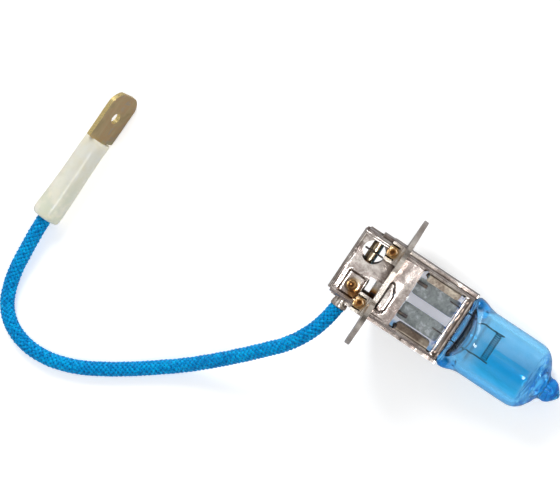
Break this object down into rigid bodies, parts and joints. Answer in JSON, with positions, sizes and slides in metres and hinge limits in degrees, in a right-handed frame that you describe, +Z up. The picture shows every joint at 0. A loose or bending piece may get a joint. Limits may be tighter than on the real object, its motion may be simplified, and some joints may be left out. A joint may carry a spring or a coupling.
{
  "type": "headlight bulb",
  "caption": "Halogen headlight bulb with a transverse filament, round keyed flange base, blue braided lead and a booted blade terminal, lying on its rim and nose.",
  "frame": {"origin": "on the lamp axis at the front face of the base flange, the plane that the lamp seats on", "axes": "+Z up with the bulb lying nose down on its flange rim and glass, +X horizontal in the direction the glass points, and the lead leaves towards -Y"},
  "size_m": [0.0852, 0.0531, 0.0214],
  "materials": {
    "coated_quartz": "clear quartz with a thin blue heat-resistant coating",
    "tungsten": "fine drawn tungsten wire",
    "lead_wire": "dull grey molybdenum wire",
    "foil": "matt grey-green molybdenum foil",
    "shell_metal": "bright nickel-plated pressed steel",
    "flange_metal": "bright nickel-plated pressed steel",
    "weld_tint": "heat-tinted spot weld",
    "tab_metal": "bright nickel strip with heat tint",
    "ferrule_metal": "nickel-plated tube, lightly crimped",
    "core_insulation": "off-white silicone",
    "copper": "stranded copper",
    "braid": "bright blue varnished glass-fibre braid",
    "blade_brass": "bright brass with a slight violet heat tint",
    "boot_rubber": "translucent cream soft sleeve"
  },
  "bodies": {
    "root": {"quartz_envelope": "coated_quartz", "filament_coil": "tungsten", "inner_lead_live": "lead_wire", "inner_lead_ground": "lead_wire", "foil_live": "foil", "foil_ground": "foil", "outer_lead_live": "lead_wire", "outer_lead_ground": "lead_wire", "shell_upper": "shell_metal", "shell_lower": "shell_metal", "flange_plate": "flange_metal", "weld_spots": "weld_tint", "ground_tab": "tab_metal", "live_contact": "tab_metal", "cable_ferrule": "ferrule_metal", "insulation_tail": "core_insulation", "conductor_tail": "copper", "cable": "braid", "conductor_end": "copper", "blade_terminal": "blade_brass"},
    "boot": {"terminal_boot": "boot_rubber"}
  },
  "joints": [
    {"name": "boot_slide", "type": "slide", "parent": "root", "child": "boot", "axis": [-0.0349, -0.999, -0.0279], "range_m": [0, 0.004]}
  ]
}
